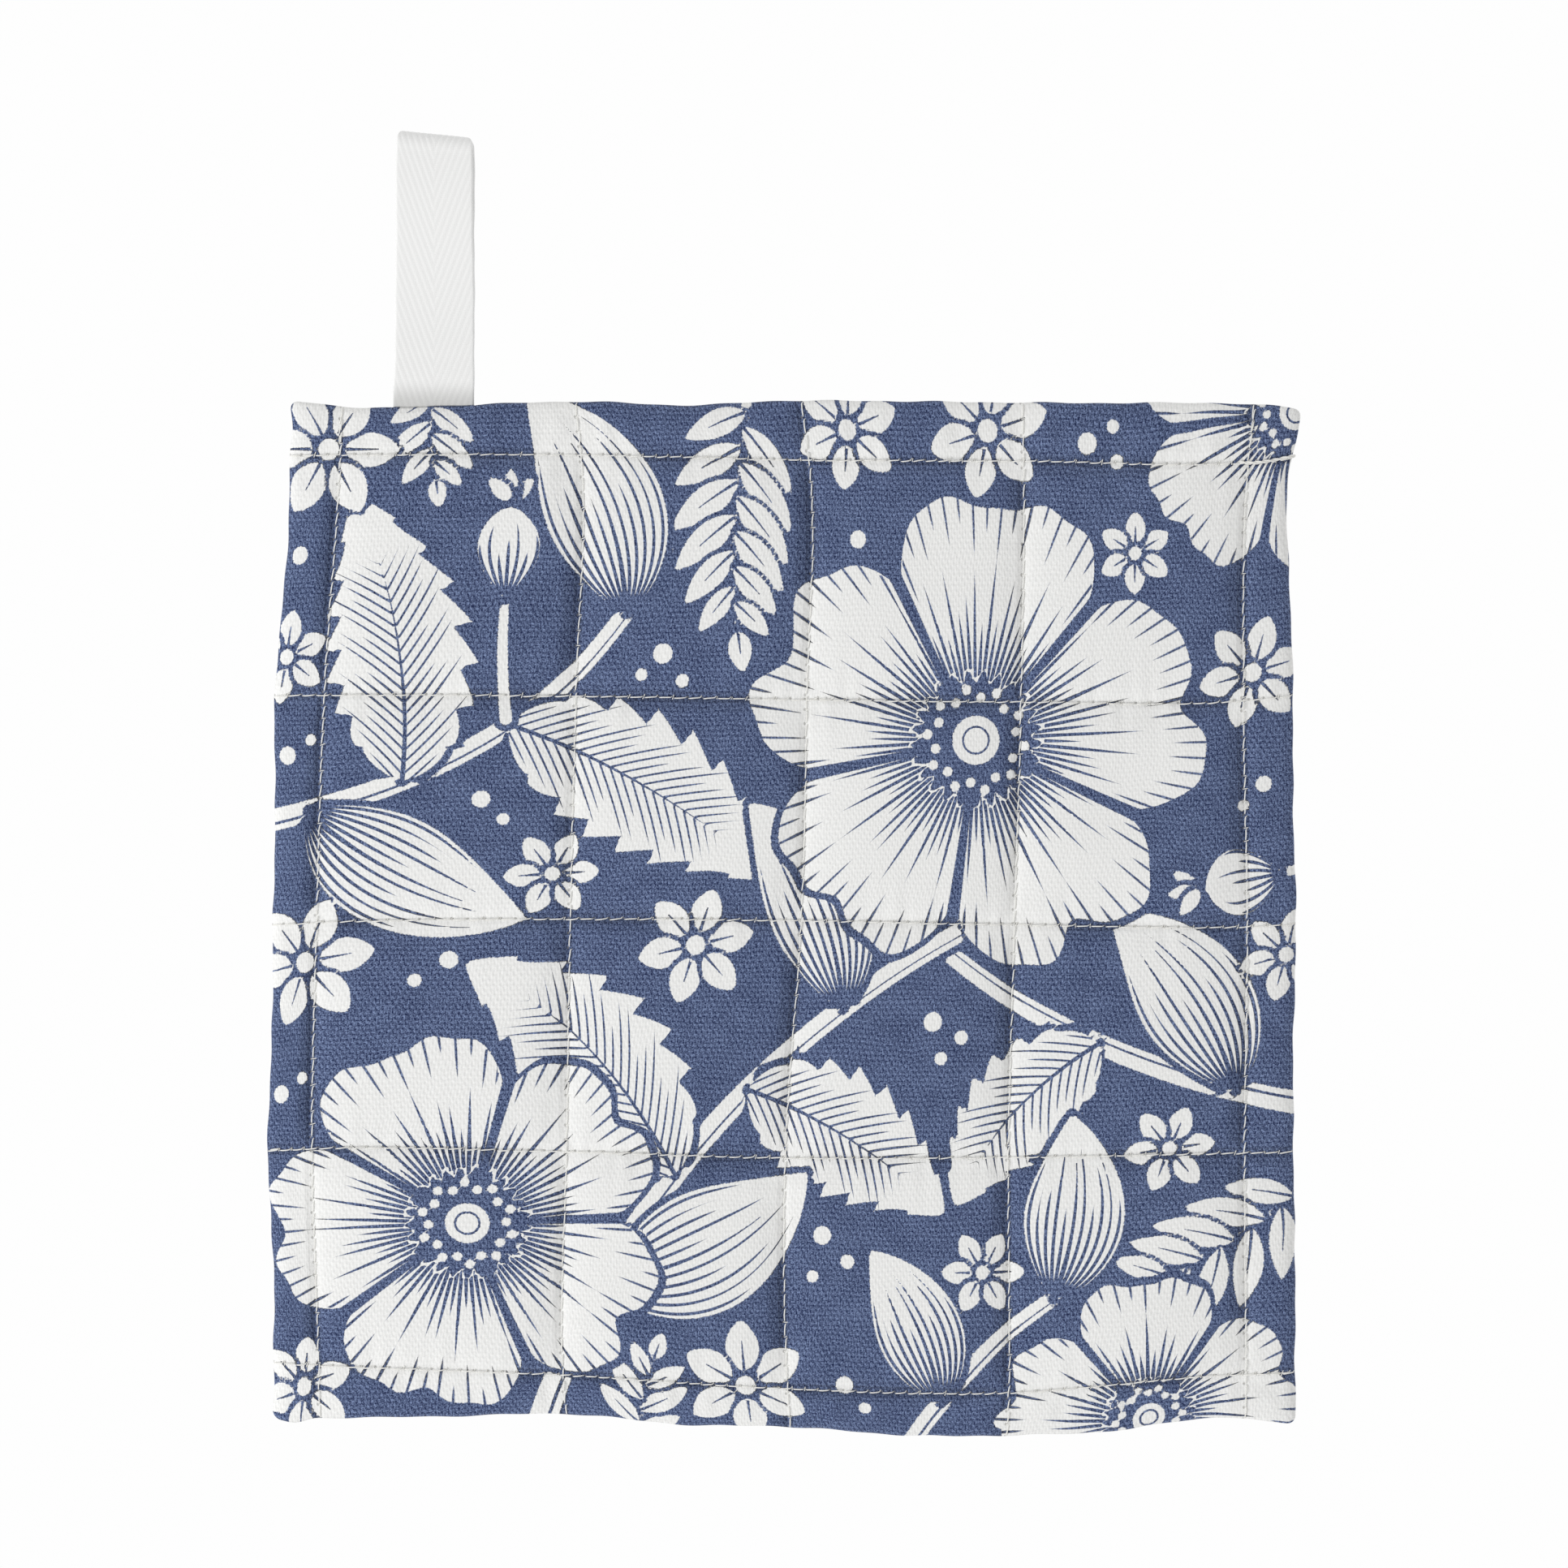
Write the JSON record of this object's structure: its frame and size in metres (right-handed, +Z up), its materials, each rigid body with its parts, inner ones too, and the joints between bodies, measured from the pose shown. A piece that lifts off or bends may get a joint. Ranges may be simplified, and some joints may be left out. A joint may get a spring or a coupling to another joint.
{
  "type": "pot holder",
  "caption": "Square quilted cotton pot holder with padded squares, a turned and sewn edge, and a hanging loop of folded twill tape near one corner.",
  "frame": {"origin": "middle of the whole outline, loop included, at the surface the pot holder lies on", "axes": "+Z up out of the printed face, +Y from the pad towards the hanging loop, +X to the right when seen from above with the loop at the top"},
  "size_m": [0.2018, 0.2546, 0.0083],
  "materials": {
    "printed_canvas": "matt printed cotton canvas, quilted",
    "twill_tape": "matt white herringbone twill"
  },
  "bodies": {
    "root": {"quilted_pad": "printed_canvas", "hanging_loop": "twill_tape"}
  },
  "joints": []
}
